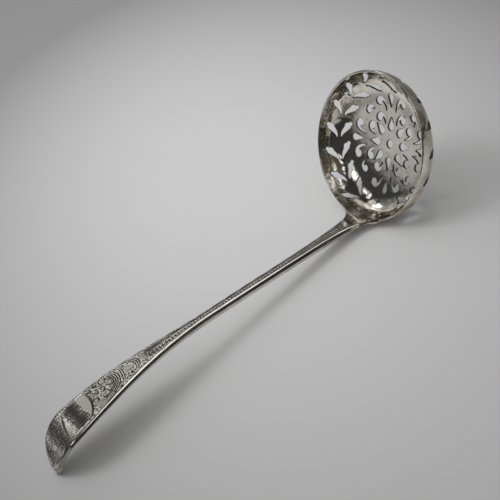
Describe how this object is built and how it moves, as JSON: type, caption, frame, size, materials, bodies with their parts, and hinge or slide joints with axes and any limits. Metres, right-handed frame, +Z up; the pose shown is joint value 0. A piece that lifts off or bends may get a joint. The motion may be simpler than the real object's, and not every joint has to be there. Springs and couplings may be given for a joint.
{
  "type": "sifter spoon",
  "caption": "Silver sifter spoon with a round pierced bowl and a long, narrow arched handle that widens to an engraved, turned-down end.",
  "frame": {"origin": "middle of the bounding box on the surface the spoon rests on", "axes": "+X from the end of the handle towards the bowl, +Z up from the resting surface, +Y across the spoon"},
  "size_m": [0.1634, 0.052, 0.0478],
  "materials": {
    "silver": "polished silver, darkened in the engraved lines"
  },
  "bodies": {
    "root": {"sifter_spoon": "silver"}
  },
  "joints": []
}
